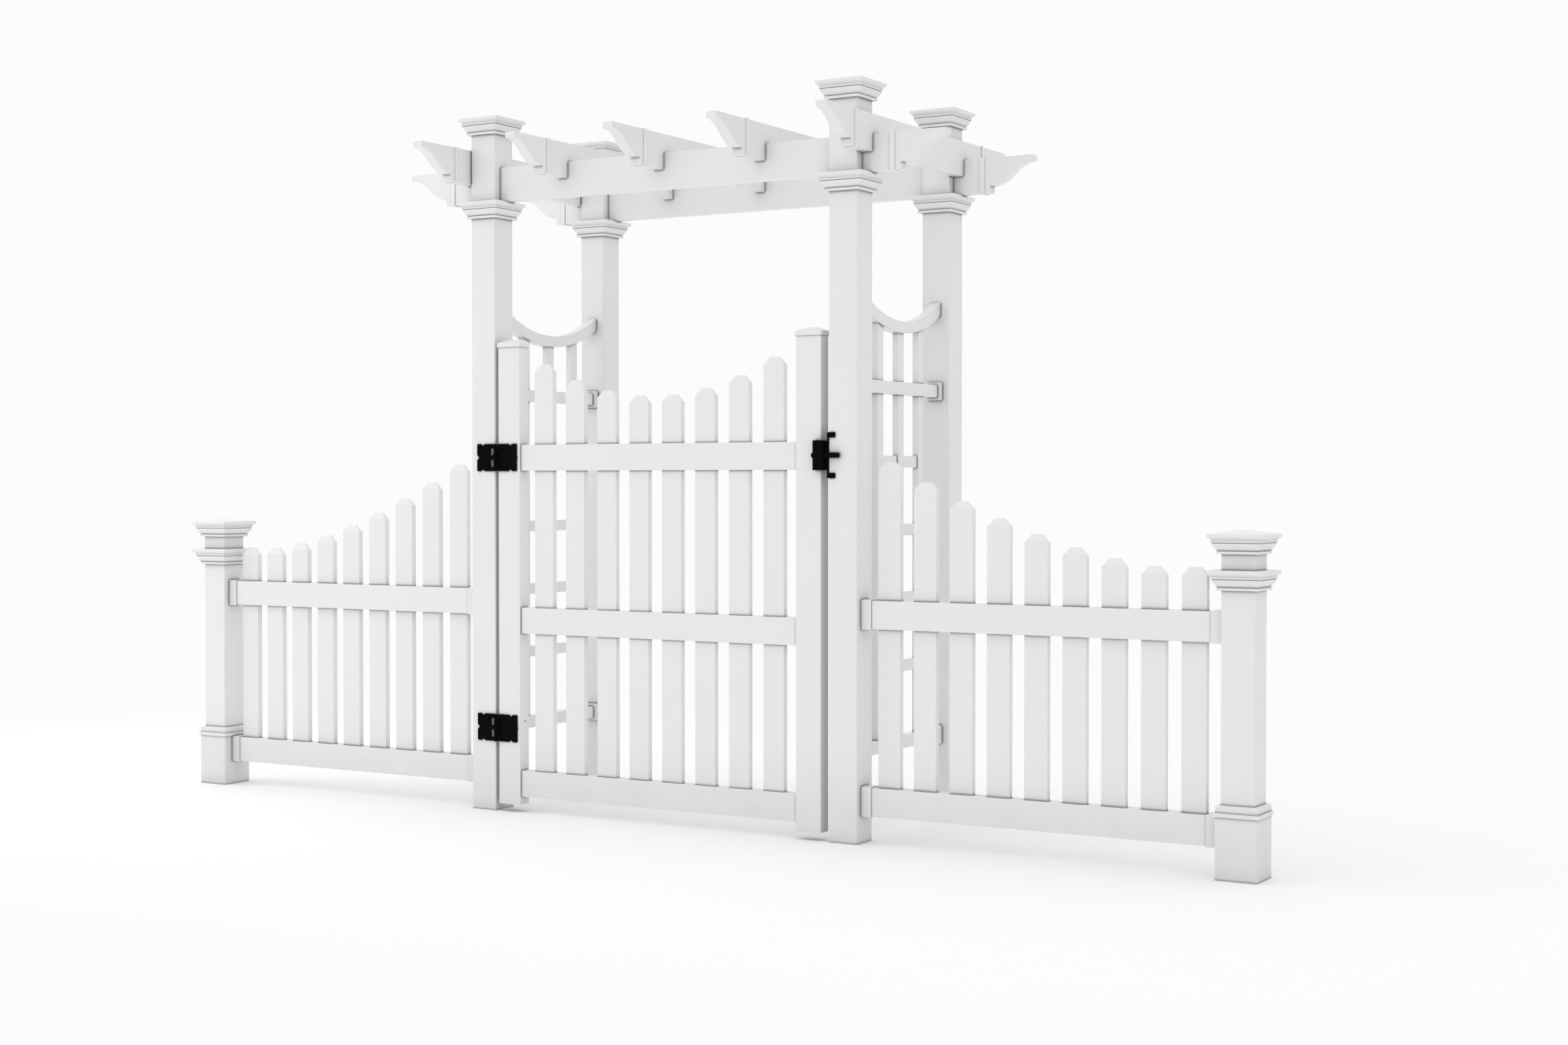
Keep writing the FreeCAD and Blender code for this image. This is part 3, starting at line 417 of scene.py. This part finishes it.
def addHingeTrim(look):
    pinLow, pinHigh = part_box("hinge_pins")
    leafLow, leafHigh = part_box("hinge_post_leaves")
    stileLow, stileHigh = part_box("gate_stile_hinge")
    axisX, face = (pinLow[0] + pinHigh[0]) / 2, stileLow[1]
    heights = {"lower": leafLow[2] + look["leafHalf"], "upper": leafHigh[2] - look["leafHalf"]}
    far, near = axisX - look["slotFar"] + look["slotGap"], axisX - look["slotNear"]
    for which, z in heights.items():
        # grey plates behind the slots: painted shade where the slots would show shaded vinyl
        for end, place in ((-1, "Bottom"), (1, "Top")):
            low, high = look["slotLow"] + look["slotGap"], look["slotHigh"] - look["slotGap"]
            outline = [(far, z + end * low), (near, z + end * (low + look["slotSlant"])),
                       (near, z + end * high), (far, z + end * high)]
            platePiece(which + "HingeSlotShade" + place, outline, face - look["slotShadeFront"],
                       face - look["slotShadeBack"], look["slotShadeEase"], "slotShadeGrey", "arbor")
        left, right = axisX + look["shimFrom"], axisX + look["shimTo"]
        outline = [(left, z - look["leafHalf"]), (right, z - look["leafHalf"]),
                   (right, z + look["leafHalf"]), (left, z + look["leafHalf"])]
        platePiece(which + "HingeShim", outline, face - look["shimThick"],
                   face - look["shimLift"], look["shimEase"], "blackPolymer", "gate")
    domePiece("stileSideScrew",
              (stileHigh[0], face + look["screwBack"], heights["lower"] + look["screwUp"]),
              look["screwRadius"], look["screwHigh"], "blackSteel", "gate")


addHingeTrim(hingeTrim)
print("gate: hinge trim added")


studio = {
    "horizon": 0.62, "zenith": 1.42, "leftLift": 0.10, "frontLift": 0.05, "backdrop": 0.972,
    "floorTone": 0.95, "floorSize": 60.0, "footHalf": 1.9, "floorDrop": 0.0005,
    "fadeFrom": 0.5, "fadeTo": 2.8,
    "side": {"place": (-5.5, -2.0, 3.0), "aim": (0.2, 0.0, 0.4), "size": 2.4, "power": 40.0},
}


def backdropRays(tree):
    # camera, mirror and see-through rays find the white backdrop; the rest find the lamps' level
    path = addNode(tree, "LightPath").outputs
    seen = maths(tree, "MAXIMUM", path["Is Camera Ray"], path["Is Glossy Ray"])
    return maths(tree, "MAXIMUM", seen, path["Is Transmission Ray"])


def addSky(look):
    # brightest overhead, and a little brighter from the front left than from the right
    world = bpy.data.worlds.new("studioSky")
    bpy.context.scene.world = world
    world.use_nodes = True
    tree = world.node_tree
    tree.nodes.clear()
    towards = addNode(tree, "SeparateXYZ", Vector=addNode(tree, "TexCoord").outputs["Generated"])
    up = maths(tree, "MULTIPLY", towards.outputs["Z"], towards.outputs["Z"])
    level = maths(tree, "MULTIPLY_ADD", up, look["zenith"] - look["horizon"], look["horizon"])
    level = maths(tree, "MULTIPLY_ADD", towards.outputs["X"], -look["leftLift"], level)
    level = maths(tree, "MULTIPLY_ADD", towards.outputs["Y"], -look["frontLift"], level)
    soft = addNode(tree, "Background", Color=grey(1.0), Strength=level)
    white = addNode(tree, "Background", Color=grey(1.0), Strength=look["backdrop"])
    mix = addNode(tree, "MixShader", input0=backdropRays(tree), input1=soft.outputs[0],
                  input2=white.outputs[0])
    addNode(tree, "OutputWorld", Surface=mix.outputs[0])


def addLamp(name, look):
    data = bpy.data.lights.new(name, "AREA")
    data.shape, data.size, data.energy = "DISK", look["size"], look["power"]
    lamp = bpy.data.objects.new(name, data)
    lamp.location = look["place"]
    towards = Vector(look["aim"]) - Vector(look["place"])
    lamp.rotation_euler = towards.to_track_quat("-Z", "Y").to_euler()
    lamp.visible_camera = False
    bpy.context.scene.collection.objects.link(lamp)


def addFloor(look):
    half, z = look["floorSize"] / 2, -look["floorDrop"]
    mesh = bpy.data.meshes.new("studioFloor")
    mesh.from_pydata([(-half, -half, z), (half, -half, z), (half, half, z), (-half, half, z)],
                     [], [(0, 1, 2, 3)])
    floor = bpy.data.objects.new("studioFloor", mesh)
    bpy.context.scene.collection.objects.link(floor)
    material, tree = emptyMaterial("studioFloor")
    place = addNode(tree, "TexCoord").outputs["Object"]
    along = addNode(tree, "SeparateXYZ", Vector=place).outputs
    past = maths(tree, "SUBTRACT", maths(tree, "ABSOLUTE", along["X"]), look["footHalf"])
    past = maths(tree, "MAXIMUM", past, 0.0)
    away = maths(tree, "SQRT", maths(tree, "ADD", maths(tree, "MULTIPLY", past, past),
                                     maths(tree, "MULTIPLY", along["Y"], along["Y"])))
    fade = ease(tree, away, look["fadeFrom"], look["fadeTo"])
    paper = addNode(tree, "BsdfDiffuse", Color=grey(look["floorTone"]))
    white = addNode(tree, "Emission", Color=grey(1.0), Strength=look["backdrop"])
    seen = maths(tree, "MULTIPLY", fade, backdropRays(tree))
    mix = addNode(tree, "MixShader", input0=seen, input1=paper.outputs[0],
                  input2=white.outputs[0])
    addNode(tree, "OutputMaterial", Surface=mix.outputs[0])
    mesh.materials.append(material)


addSky(studio)
addLamp("sideLamp", studio["side"])
addFloor(studio)
bpy.context.scene.view_settings.view_transform = "Standard"
print("gate: studio lit")
